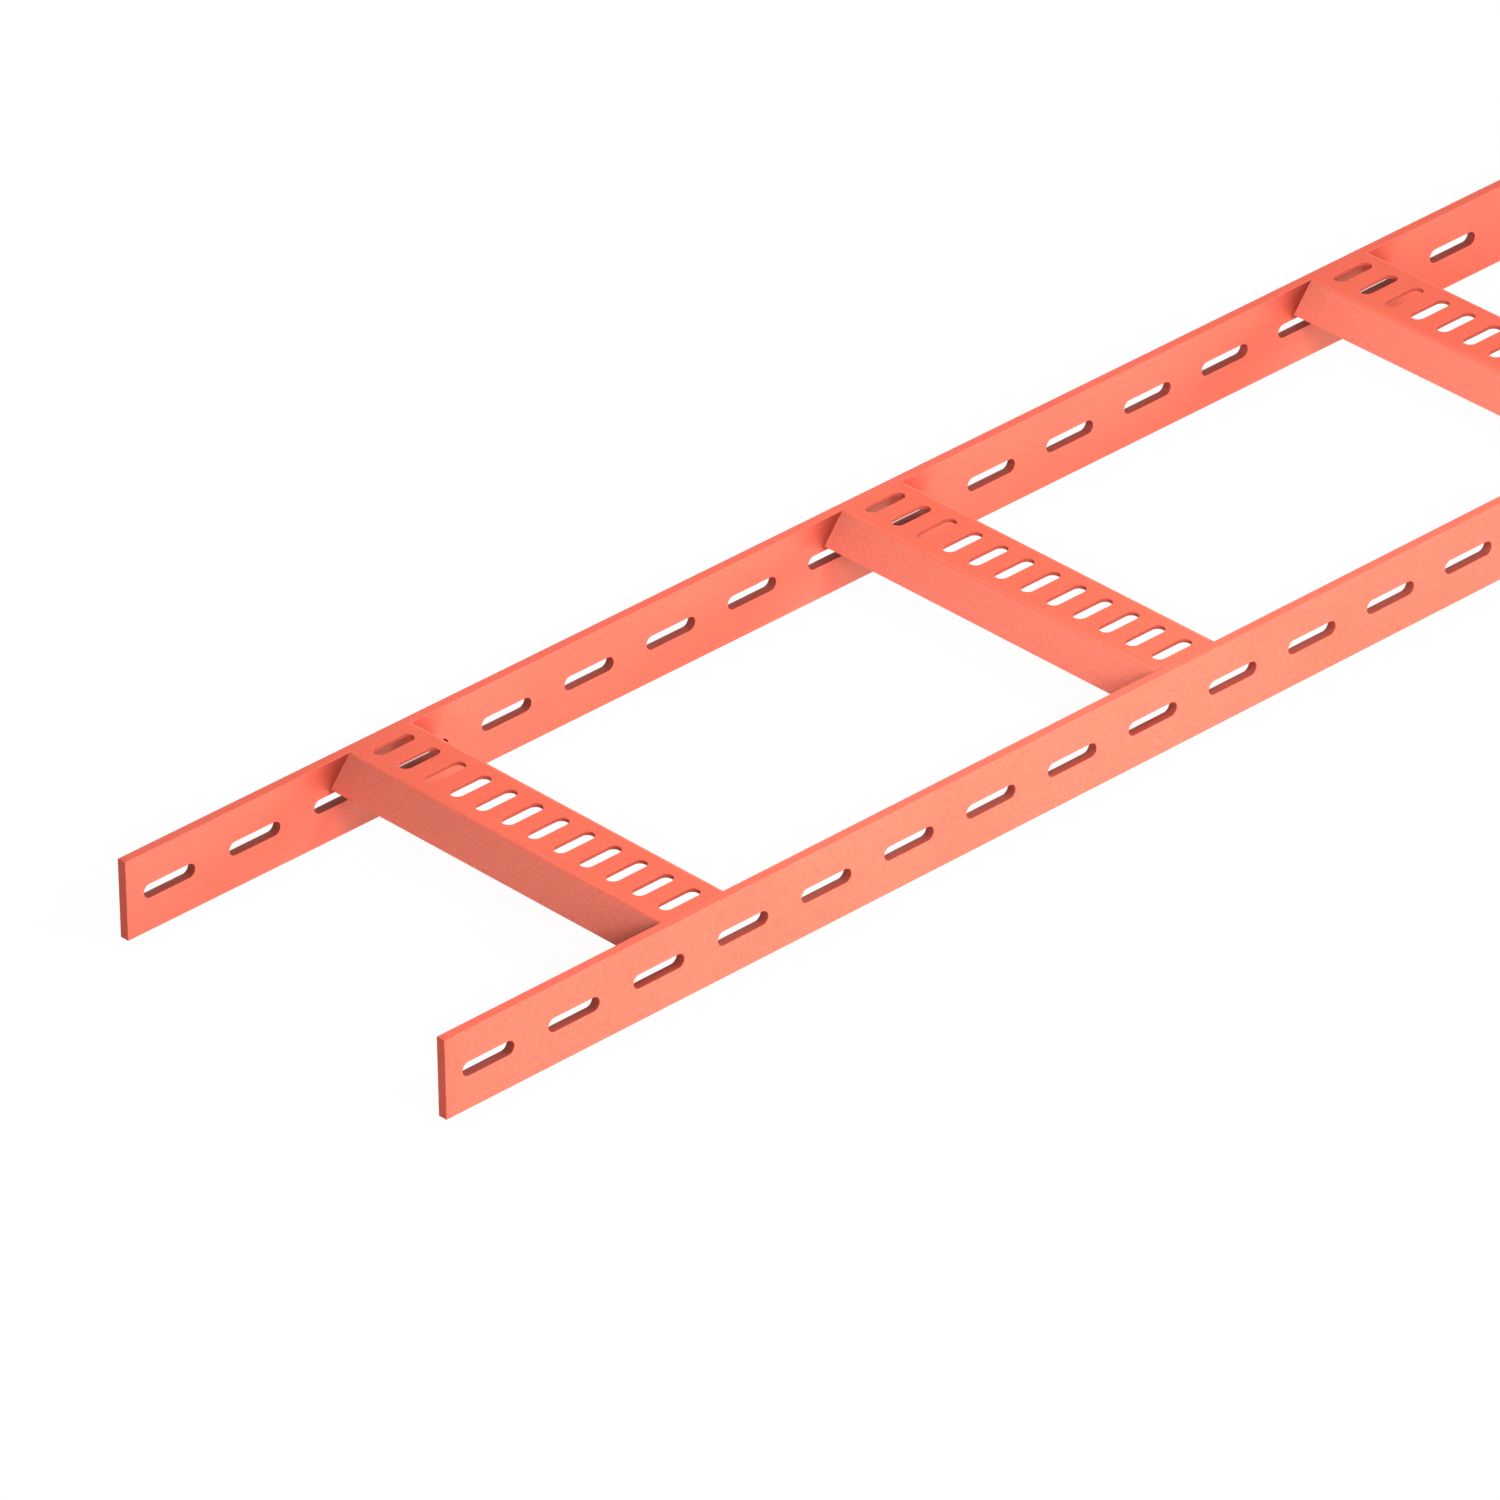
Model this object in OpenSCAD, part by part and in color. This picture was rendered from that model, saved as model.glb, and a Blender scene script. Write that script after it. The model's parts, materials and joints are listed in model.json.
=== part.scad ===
// Cable ladder section: two slotted flat bars, joined by folded rungs that are slotted across their whole length.
// +X runs along the rails, +Y across the ladder and +Z up. The origin is the middle of the underside.

/* [Ladder] */
// Number of rungs in the section
rung_count = 10; // [2:1:20]
// Distance between the centre lines of neighbouring rungs
rung_pitch = 300; // [150:10:600]
// Clear width between the two side rails
clear_width = 200; // [100:10:600]

/* [Side rails] */
// Height of the flat bar
rail_height = 40; // [30:1:80]
// Thickness of the flat bar
rail_thickness = 5; // [3:0.5:10]
// Rounding of the bar's four long edges, as rolled
rail_edge_radius = 0.3; // [0.1:0.1:1]

/* [Rail slots] */
// Length of a rail slot, over its round ends
rail_slot_length = 30; // [12:1:40]
// Height of a rail slot, twice the radius of its ends
rail_slot_width = 7; // [5:0.5:11]
// Distance between the centres of neighbouring rail slots
rail_slot_pitch = 50; // [45:1:150]
// Smallest distance from a rail's end to the centre of its first slot
rail_slot_end = 25; // [22:1:60]

/* [Rungs] */
// Depth of a rung's top face below the rails' top edges
rung_drop = 0; // [0:0.1:8]
// Thickness of the sheet that a rung is folded from
rung_sheet = 2; // [1:0.1:3]
// Width of a rung's top, between the sharp corners that its bends round off
rung_top_width = 36.6; // [32:0.1:50]
// Width of a rung over the outer edges of its two feet
rung_foot_width = 60; // [54:1:80]
// Height of a rung's outer faces, from its top down to the edges of its feet
rung_height = 14.2; // [8:0.1:24]
// Inner radius of the two bends
bend_radius = 0.8; // [0.4:0.1:2]

/* [Rung slots] */
// Length of a rung slot, over its round ends
rung_slot_length = 22.5; // [12:0.5:26]
// Width of a rung slot, twice the radius of its ends
rung_slot_width = 7; // [4:0.5:10]
// Distance between the centre lines of neighbouring rung slots
rung_slot_pitch = 16.65; // [12:0.05:40]
// Smallest distance from a rail's inner face to the centre line of the first rung slot
rung_slot_end = 8.4; // [7:0.1:20]

/* [Hidden] */
$fn = 48;
// How far a cutting shape runs past the faces that it cuts
overcut = 1;

// Half a pitch is left past the first and the last rung, so that their spacing carries on over a joint.
ladder_length = rung_count * rung_pitch;

// How many copies fit in a span, with at least the given margin at both ends.
function fitting(span, margin, pitch) = floor((span - 2 * margin) / pitch) + 1;
// The places of that many copies, centred on zero.
function centred(count, pitch) = [for (i = [0 : count - 1]) (i - (count - 1) / 2) * pitch];

rail_slot_xs = centred(fitting(ladder_length, rail_slot_end, rail_slot_pitch), rail_slot_pitch);
rung_xs = centred(rung_count, rung_pitch);
rung_slot_ys = centred(fitting(clear_width, rung_slot_end, rung_slot_pitch), rung_slot_pitch);

rail_slot_z = rail_height / 2;
rung_top_z = rail_height - rung_drop;

// The fold turns the sheet from the level top to the slope of the foot.
foot_run = (rung_foot_width - rung_top_width) / 2;
fold_angle = atan2(rung_height, foot_run);
bend_outer_radius = bend_radius + rung_sheet;
// A bend starts and ends this far from its sharp corner.
bend_setback = bend_outer_radius * tan(fold_angle / 2);
foot_length = norm([foot_run, rung_height]) - bend_setback;

paint = [0.98, 0.48, 0.38];

function rung_name(i) = str("rung_", i < 10 ? "0" : "", i);

// A slot's outline, with round ends, its length along x.
module slot_outline(length, width) {
    run = length - width;
    square([run, width], center = true);
    for (side = [-1, 1])
        translate([side * run / 2, 0]) circle(d = width);
}

// A flat bar's section, with x across it and y up, standing on y = 0.
module bar_section(thickness, height, radius) {
    translate([-thickness / 2 + radius, 0]) square([thickness - 2 * radius, height]);
    translate([-thickness / 2, radius]) square([thickness, height - 2 * radius]);
    for (side = [-1, 1])
        for (y = [radius, height - radius])
            translate([side * (thickness / 2 - radius), y]) circle(r = radius);
}

// One side rail, its centre line at y = 0.
module side_rail() {
    difference() {
        translate([-ladder_length / 2, 0, 0])
            rotate([90, 0, 90])
                linear_extrude(ladder_length)
                    bar_section(rail_thickness, rail_height, rail_edge_radius);
        for (x = rail_slot_xs)
            translate([x, rail_thickness / 2 + overcut, rail_slot_z])
                rotate([90, 0, 0])
                    linear_extrude(rail_thickness + 2 * overcut)
                        slot_outline(rail_slot_length, rail_slot_width);
    }
}

module side_rail_right() {
    color(paint) translate([0, -(clear_width + rail_thickness) / 2, 0]) side_rail();
}

module side_rail_left() {
    color(paint) translate([0, (clear_width + rail_thickness) / 2, 0]) side_rail();
}

// One half of a rung's folded section: half of its level top, a bend and a sloping foot. The top face is at y = 0.
module half_rung_section() {
    flat = rung_top_width / 2 - bend_setback;
    quadrant = 2 * bend_outer_radius;
    // Drawn about the bend's own centre, so that the bend meets its two neighbours exactly.
    translate([flat, -bend_outer_radius]) {
        translate([-flat, bend_radius]) square([flat, rung_sheet]);
        intersection() {
            difference() {
                circle(r = bend_outer_radius);
                circle(r = bend_radius);
            }
            square(quadrant);
            rotate(-fold_angle) translate([-quadrant, 0]) square(quadrant);
        }
        rotate(-fold_angle) translate([0, bend_radius]) square([foot_length, rung_sheet]);
    }
}

// A rung's whole section, open below.
module rung_section() {
    half_rung_section();
    mirror([1, 0]) half_rung_section();
}

// One rung from rail to rail, its centre line at x = 0.
module rung() {
    difference() {
        translate([0, clear_width / 2, rung_top_z])
            rotate([90, 0, 0])
                linear_extrude(clear_width)
                    rung_section();
        for (y = rung_slot_ys)
            translate([0, y, rung_top_z - rung_sheet - overcut])
                linear_extrude(rung_sheet + 2 * overcut)
                    slot_outline(rung_slot_length, rung_slot_width);
    }
}

// The rung with the given number, counted from the ladder's -x end.
module numbered_rung(i) {
    color(paint) translate([rung_xs[i - 1], 0, 0]) rung();
}

side_rail_right();
side_rail_left();
for (i = [1 : rung_count])
    numbered_rung(i);
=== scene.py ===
"""Looks of a straight cable ladder section: slotted flat-bar side rails and folded rungs in coral primer.

Lengths are in metres, with +X along the rails, +Y across the ladder and +Z up. Every bar and rung is a numpy
surface built over its solid: rings of points round each slot, tiled along the piece, and a profile carried
along its edges.
"""

import json
import logging
import math
from dataclasses import dataclass
from enum import Enum

import bmesh
import bpy
import numpy as np
from mathutils import Matrix, Vector

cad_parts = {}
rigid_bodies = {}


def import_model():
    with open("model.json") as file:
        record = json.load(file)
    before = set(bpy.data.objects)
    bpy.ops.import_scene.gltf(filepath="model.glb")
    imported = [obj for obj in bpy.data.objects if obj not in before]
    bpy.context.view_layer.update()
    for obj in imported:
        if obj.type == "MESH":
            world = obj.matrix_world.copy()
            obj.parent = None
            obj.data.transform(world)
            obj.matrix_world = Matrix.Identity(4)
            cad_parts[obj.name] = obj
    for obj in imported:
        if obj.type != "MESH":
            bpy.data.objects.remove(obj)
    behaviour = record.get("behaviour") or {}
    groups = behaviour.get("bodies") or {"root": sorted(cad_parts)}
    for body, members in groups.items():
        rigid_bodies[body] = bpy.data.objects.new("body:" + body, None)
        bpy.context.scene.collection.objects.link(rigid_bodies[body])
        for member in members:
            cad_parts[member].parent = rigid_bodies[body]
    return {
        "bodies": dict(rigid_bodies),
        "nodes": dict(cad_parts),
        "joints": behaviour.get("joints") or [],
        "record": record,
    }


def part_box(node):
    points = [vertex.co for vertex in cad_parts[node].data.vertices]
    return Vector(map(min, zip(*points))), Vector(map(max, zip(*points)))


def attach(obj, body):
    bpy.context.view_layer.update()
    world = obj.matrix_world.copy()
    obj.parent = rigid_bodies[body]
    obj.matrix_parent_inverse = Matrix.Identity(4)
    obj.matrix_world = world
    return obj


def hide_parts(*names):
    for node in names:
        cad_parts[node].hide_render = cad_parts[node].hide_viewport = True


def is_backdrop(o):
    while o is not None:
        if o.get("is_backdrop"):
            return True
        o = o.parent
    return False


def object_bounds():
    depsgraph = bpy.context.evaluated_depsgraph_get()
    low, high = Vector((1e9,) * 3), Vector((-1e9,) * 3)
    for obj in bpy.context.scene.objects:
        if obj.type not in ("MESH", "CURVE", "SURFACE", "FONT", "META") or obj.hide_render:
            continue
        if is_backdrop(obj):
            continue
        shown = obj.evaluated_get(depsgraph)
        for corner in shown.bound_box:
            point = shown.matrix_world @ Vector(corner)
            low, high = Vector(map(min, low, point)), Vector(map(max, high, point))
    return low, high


LOG = logging.getLogger("cable_ladder")
MM = 0.001
ROOT = "root"
# Points nearer than this, where two grids meet, become one.
SEAM_GAP = 0.002 * MM
# Two coordinates nearer than this are the same.
TINY = 1e-9
# The corner group's output of painted shade in the hollows under the rungs.
UNDER_SHADE = "Under Shade"

Triple = tuple[float, float, float]
Color = Triple
Socket = bpy.types.NodeSocket
Links = dict[str | int, object]


class Mask(Enum):
    """Painted shade and highlight, and dry spray with painted sheen: point attributes of the meshes, 0 to 1.
    """

    THIN = "painted_shade"
    DRY_AND_SHEEN = "dry_spray_and_sheen"
    RUBBED = "painted_highlight"


Masks = dict[Mask, np.ndarray]


class Corner(Enum):
    """Which pieces a corner's painted shade is for. Each is an output of the corner group."""

    RAIL = "Rail"
    RUNG = "Rung"


class Side(Enum):
    """Which rail a bar is, by the way that its outer face looks along Y."""

    RIGHT = -1
    LEFT = 1


# ---- Mesh building -------------------------------------------------------------------------------


@dataclass(frozen=True)
class SlotShape:
    """A punched slot with round ends, and the eased rims that the punch leaves.

    Attributes:
        length: Over the round ends.
        width: Twice the radius of the ends.
        entry_rim: Rounding where the punch went in.
        exit_rim: Rounding where it came out, which is sharper.
        wall_shade: How dark the painted shade on its wall is, from 0 to 1.
    """

    length: float
    width: float
    entry_rim: float
    exit_rim: float
    wall_shade: float


class SurfaceBuilder:
    """Gathers grids of points and their quads, and welds them into one closed mesh."""

    def __init__(self, name: str) -> None:
        """Starts an empty surface.

        Args:
            name: Name of the mesh and object to be made.
        """
        self.name = name
        self.points: list[np.ndarray] = []
        self.quads: list[np.ndarray] = []
        self.masks: dict[Mask, list[np.ndarray]] = {mask: [] for mask in Mask}
        self.count = 0

    def add_grid(self, grid: np.ndarray, closed: bool = False, masks: Masks | None = None) -> None:
        """Adds one or more grids of points, each joined to its neighbours by quads.

        Args:
            grid: Points as an array of (..., rows, columns, 3).
            closed: Whether the last column joins the first.
            masks: Painted shade, sheen and highlight, and dry spray, 0 to 1 per row. A mask that isn't given
                is 0.
        """
        rows, columns = grid.shape[-3:-1]
        sheets = grid.reshape(-1, rows, columns, 3)
        index = np.arange(sheets.size // 3).reshape(sheets.shape[:-1]) + self.count
        beside = np.roll(index, -1, axis=2) if closed else index[:, :, 1:]
        here = index if closed else index[:, :, :-1]
        quads = np.stack([here[:, :-1], beside[:, :-1], beside[:, 1:], here[:, 1:]], axis=-1)
        self.points.append(sheets.reshape(-1, 3))
        self.quads.append(quads.reshape(-1, 4))
        for mask, values in self.masks.items():
            level = np.asarray((masks or {}).get(mask, np.zeros(rows)))[:, None]
            values.append(np.broadcast_to(level, sheets.shape[:-1]).reshape(-1))
        self.count += sheets.size // 3

    def build(self, sharp_angle: float = math.radians(40)) -> bpy.types.Object:
        """Makes the object: welds the seams between grids, turns the faces outwards and smooths the shading.

        Args:
            sharp_angle: Edges that fold more than this are shaded sharp.

        Returns:
            The new object, linked to the scene and standing at the origin.
        """
        points = np.concatenate(self.points)
        quads = np.concatenate(self.quads)
        mesh = bpy.data.meshes.new(self.name)
        mesh.from_pydata(points.tolist(), [], quads.tolist())
        for mask, values in self.masks.items():
            attribute = mesh.attributes.new(mask.value, "FLOAT", "POINT")
            attribute.data.foreach_set("value", np.concatenate(values).astype(np.float32))
        work = bmesh.new()
        work.from_mesh(mesh)
        bmesh.ops.remove_doubles(work, verts=work.verts, dist=SEAM_GAP)
        bmesh.ops.recalc_face_normals(work, faces=work.faces)
        work.to_mesh(mesh)
        work.free()
        mesh.polygons.foreach_set("use_smooth", np.ones(len(mesh.polygons), bool))
        mesh.set_sharp_from_angle(angle=sharp_angle)
        mesh.update()
        piece = bpy.data.objects.new(self.name, mesh)
        bpy.context.scene.collection.objects.link(piece)
        return piece


def quarter_turn(segments: int) -> np.ndarray:
    """Angles from 0 to 90 degrees, in radians, at even steps."""
    return np.linspace(0, math.pi / 2, segments + 1)


@dataclass(frozen=True)
class SlottedCell:
    """A rectangle of plate with a slot in its middle, as rings of points from face to face through it.

    The slot's length runs along u, the cell's other side along v, and w is the depth below the punched face.

    Attributes:
        half_u: Half the cell along u.
        half_v: Half the cell along v.
        thickness: Thickness of the plate.
        slot: The slot.
        support: Width of the flat strip next to each rounding, which keeps the faces' shading flat.
        corner_steps: Steps round an end from its middle line to the cell's corner.
        side_steps: Steps from one corner to the other.
        entry_steps: Steps over the rim where the punch went in.
        exit_steps: Steps over the rim where it came out.
    """

    half_u: float
    half_v: float
    thickness: float
    slot: SlotShape
    support: float = 0.15 * MM
    corner_steps: int = 4
    side_steps: int = 12
    entry_steps: int = 3
    exit_steps: int = 2

    @property
    def half_run(self) -> float:
        """Half the straight run of the slot, between the centres of its round ends."""
        return (self.slot.length - self.slot.width) / 2

    def angles(self) -> np.ndarray:
        """Angles of the samples round one end, as seen from it, with one at each corner of the cell."""
        corner = math.atan2(self.half_v, self.half_u - self.half_run)
        low = np.linspace(-math.pi / 2, -corner, self.corner_steps + 1)[:-1]
        middle = np.linspace(-corner, corner, self.side_steps + 1)
        return np.concatenate([low, middle, -low[::-1]])

    def outline(self) -> np.ndarray:
        """The cell's border: each sample's ray from its round end's centre, carried on to the rectangle."""
        turn = self.angles()
        gap = self.half_u - self.half_run
        with np.errstate(divide="ignore"):
            along = gap / np.maximum(np.cos(turn), TINY)
            across = self.half_v / np.maximum(np.abs(np.sin(turn)), TINY)
        reach = np.minimum(along, across)
        end = np.stack([self.half_run + reach * np.cos(turn), reach * np.sin(turn)], axis=-1)
        return np.concatenate([end, -end])

    def stadium(self, offset: float) -> np.ndarray:
        """The slot's outline grown by an offset: two half circles about the ends of the straight run.

        Args:
            offset: How far outside the slot's wall.

        Returns:
            Points as an array of (samples, 2).
        """
        turn = self.angles()
        radius = self.slot.width / 2 + offset
        end = np.stack([self.half_run + radius * np.cos(turn), radius * np.sin(turn)], axis=-1)
        return np.concatenate([end, -end])

    def rings(self) -> np.ndarray:
        """The cell's rings: border, rim and slot wall on the punched face, then the same out on the far face.

        Each rim is a quarter circle between the face and the wall: at turn t its offset from the wall is
        rim * (1 - sin t) and its depth from the face is rim * (1 - cos t).

        Returns:
            Points as an array of (rings, samples, 3), in u, v and w.
        """

        def half(rim: float, steps: int) -> np.ndarray:
            """Rings from the border over a face and its rim to the wall, with depths from that face."""
            turns = quarter_turn(steps)
            flats = [self.outline(), self.stadium(rim + self.support)]
            flats += [self.stadium(rim * (1 - math.sin(t))) for t in turns]
            depths = [0, 0] + [rim * (1 - math.cos(t)) for t in turns]
            return np.stack([np.insert(flat, 2, depth, axis=1) for flat, depth in zip(flats, depths)])

        near = half(self.slot.entry_rim, self.entry_steps)
        far = half(self.slot.exit_rim, self.exit_steps)[::-1]
        far[..., 2] = self.thickness - far[..., 2]
        return np.concatenate([near, far])

    def ring_shade(self) -> np.ndarray:
        """Painted shade on each ring, for shade in the slot: none on the faces, and full on the punched wall.

        Over a rim it goes with the square of the sine of the angle turned from the face.

        Returns:
            The mask's value on each ring.
        """
        near, far = (
            np.concatenate([[0, 0], np.sin(quarter_turn(steps)) ** 2])
            for steps in (self.entry_steps, self.exit_steps)
        )
        return self.slot.wall_shade * np.concatenate([near, far[::-1]])

    def border_u(self) -> np.ndarray:
        """The u of the border's points along the cell's upper side, from low to high."""
        edge = self.outline()
        return np.unique(np.round(edge[edge[:, 1] > self.half_v - TINY][:, 0], 12))

    def border_v(self) -> np.ndarray:
        """The v of the border's points along the cell's far side, from low to high."""
        edge = self.outline()
        return np.unique(np.round(edge[edge[:, 0] > self.half_u - TINY][:, 1], 12))


def tiled(local: np.ndarray, centres: np.ndarray, half: float, first: float, last: float) -> np.ndarray:
    """Places along a row of cells, with the row's two outer borders moved to where the piece ends.

    Args:
        local: Coordinates within one cell, of any shape.
        centres: Centres of the cells.
        half: Half a cell, so that a local coordinate of -half or half is a border.
        first: Where the row starts.
        last: Where the row ends.

    Returns:
        An array of (cells, *local.shape).
    """
    places = centres.reshape(-1, *([1] * local.ndim)) + local
    places[0] = np.where(local < -half + TINY, first, places[0])
    places[-1] = np.where(local > half - TINY, last, places[-1])
    return places


def merged(values: np.ndarray) -> np.ndarray:
    """Sorted values without near doubles."""
    values = np.sort(values.ravel())
    return values[np.append(True, np.diff(values) > TINY)]


def sweep(profile: np.ndarray, places: np.ndarray, axis: int) -> np.ndarray:
    """Carries a profile along straight places.

    Args:
        profile: Points as an array of (points, 2): the two coordinates other than the axis, in order.
        places: Coordinates along the axis.
        axis: Which coordinate the places are.

    Returns:
        A grid of (points, places, 3).
    """
    grid = np.empty((len(profile), len(places), 3))
    others = [k for k in range(3) if k != axis]
    grid[:, :, axis] = places
    grid[:, :, others[0]] = profile[:, :1]
    grid[:, :, others[1]] = profile[:, 1:]
    return grid


# ---- Finishes ------------------------------------------------------------------------------------


class Nodes:
    """A shader node tree under construction."""

    def __init__(self, tree: bpy.types.NodeTree) -> None:
        """Takes the tree that the nodes go into."""
        self.tree = tree

    def add(self, kind: str, links: Links | None = None, **settings: object) -> bpy.types.Node:
        """Adds a node, sets it up and links it.

        Args:
            kind: The node's type, less the word that all shader nodes begin with.
            links: Input name or number to a socket to link from, or a value to set.
            **settings: Attributes of the node.

        Returns:
            The node.
        """
        node = self.tree.nodes.new(f"ShaderNode{kind}")
        for key, value in settings.items():
            setattr(node, key, value)
        for key, value in (links or {}).items():
            if isinstance(value, Socket):
                self.tree.links.new(value, node.inputs[key])
            else:
                node.inputs[key].default_value = value
        return node

    def calc(self, operation: str, *values: Socket | float, clamp: bool = False) -> Socket:
        """What a Math node works out, held between 0 and 1 if it is to be clamped."""
        inputs = dict(enumerate(values))
        return self.add("Math", inputs, operation=operation, use_clamp=clamp).outputs["Value"]

    def mix(self, factor: Socket, under: Socket, over: Socket | Color) -> Socket:
        """One colour mixed towards another by a factor from 0 to 1."""
        over = over if isinstance(over, Socket) else (*over, 1)
        return self.add("Mix", {0: factor, 6: under, 7: over}, data_type="RGBA").outputs[2]

    def noise(self, vector: Socket, scale: Socket | float, detail: float, roughness: float = 0.5) -> Socket:
        """A field of noise from 0 to 1."""
        inputs = {"Vector": vector, "Scale": scale, "Detail": detail, "Roughness": roughness}
        return self.add("TexNoise", inputs).outputs["Fac"]

    def span(
        self,
        value: Socket,
        start: float = 0.0,
        end: float = 1.0,
        low: Socket | float = 0.0,
        high: float = 1.0,
    ) -> Socket:
        """Carries a value over from one range to another, and holds it there.

        Args:
            value: The value.
            start: What becomes low.
            end: What becomes high.
            low: Where the new range starts.
            high: Where it ends.

        Returns:
            The new value.
        """
        inputs = {"Value": value, "From Min": start, "From Max": end, "To Min": low, "To Max": high}
        return self.add("MapRange", inputs).outputs["Result"]


class NodeGroup(Nodes):
    """A node group under construction, with sockets made from plain declarations."""

    def __init__(self, name: str, inputs: dict[str, str | float], outputs: dict[str, str]) -> None:
        """Makes the group and its sockets.

        Args:
            name: Name of the group.
            inputs: Socket name to its type, or to a number's value.
            outputs: Socket name to its type.
        """
        super().__init__(bpy.data.node_groups.new(name, "ShaderNodeTree"))
        for label, given in inputs.items():
            kind = given if isinstance(given, str) else "Float"
            socket = self.tree.interface.new_socket(label, in_out="INPUT", socket_type=f"NodeSocket{kind}")
            if given is not kind:
                socket.default_value = given
        for label, kind in outputs.items():
            self.tree.interface.new_socket(label, in_out="OUTPUT", socket_type=f"NodeSocket{kind}")
        self.source = self.tree.nodes.new("NodeGroupInput").outputs
        self.exit = self.tree.nodes.new("NodeGroupOutput")

    def output(self, label: str, socket: Socket) -> None:
        """Links a socket to the group's output of that name."""
        self.tree.links.new(socket, self.exit.inputs[label])


def mottle_group() -> bpy.types.NodeTree:
    """Pigment that is never quite even: a soft cloud from the spray passes, and a fine speckle of grains.

    The colour is mixed from the base towards the deep shade by cloud * cloud amount + speck * speck amount.
    """
    group = NodeGroup(
        "primer_mottle",
        {
            "Vector": "Vector",
            "Base": "Color",
            "Deep": "Color",
            "Cloud Scale": 9.0,
            "Cloud Amount": 0.3,
            "Speck Scale": 1300.0,
            "Speck Amount": 0.7,
        },
        {"Color": "Color", "Speck": "Float"},
    )
    source = group.source
    cloud = group.span(group.noise(source["Vector"], source["Cloud Scale"], 3.0), start=0.35, end=0.65)
    speck = group.span(group.noise(source["Vector"], source["Speck Scale"], 2.0, 0.6), start=0.42, end=0.66)
    spread = group.calc("MULTIPLY", cloud, source["Cloud Amount"])
    total = group.calc("MULTIPLY_ADD", speck, source["Speck Amount"], spread)
    group.output("Color", group.mix(total, source["Base"], source["Deep"]))
    group.output("Speck", speck)
    return group.tree


def spray_skin_group() -> bpy.types.NodeTree:
    """Height of a sprayed skin: the slow roll of orange peel, with the fine tooth of a matt primer on it."""
    group = NodeGroup(
        "spray_skin",
        {"Vector": "Vector", "Peel Scale": 350.0, "Tooth Scale": 2600.0, "Tooth Share": 0.35},
        {"Height": "Float"},
    )
    source = group.source
    peel = group.noise(source["Vector"], source["Peel Scale"], 1.5)
    tooth = group.noise(source["Vector"], source["Tooth Scale"], 2.0, 0.7)
    group.output("Height", group.calc("MULTIPLY_ADD", tooth, source["Tooth Share"], peel))
    return group.tree


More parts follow.
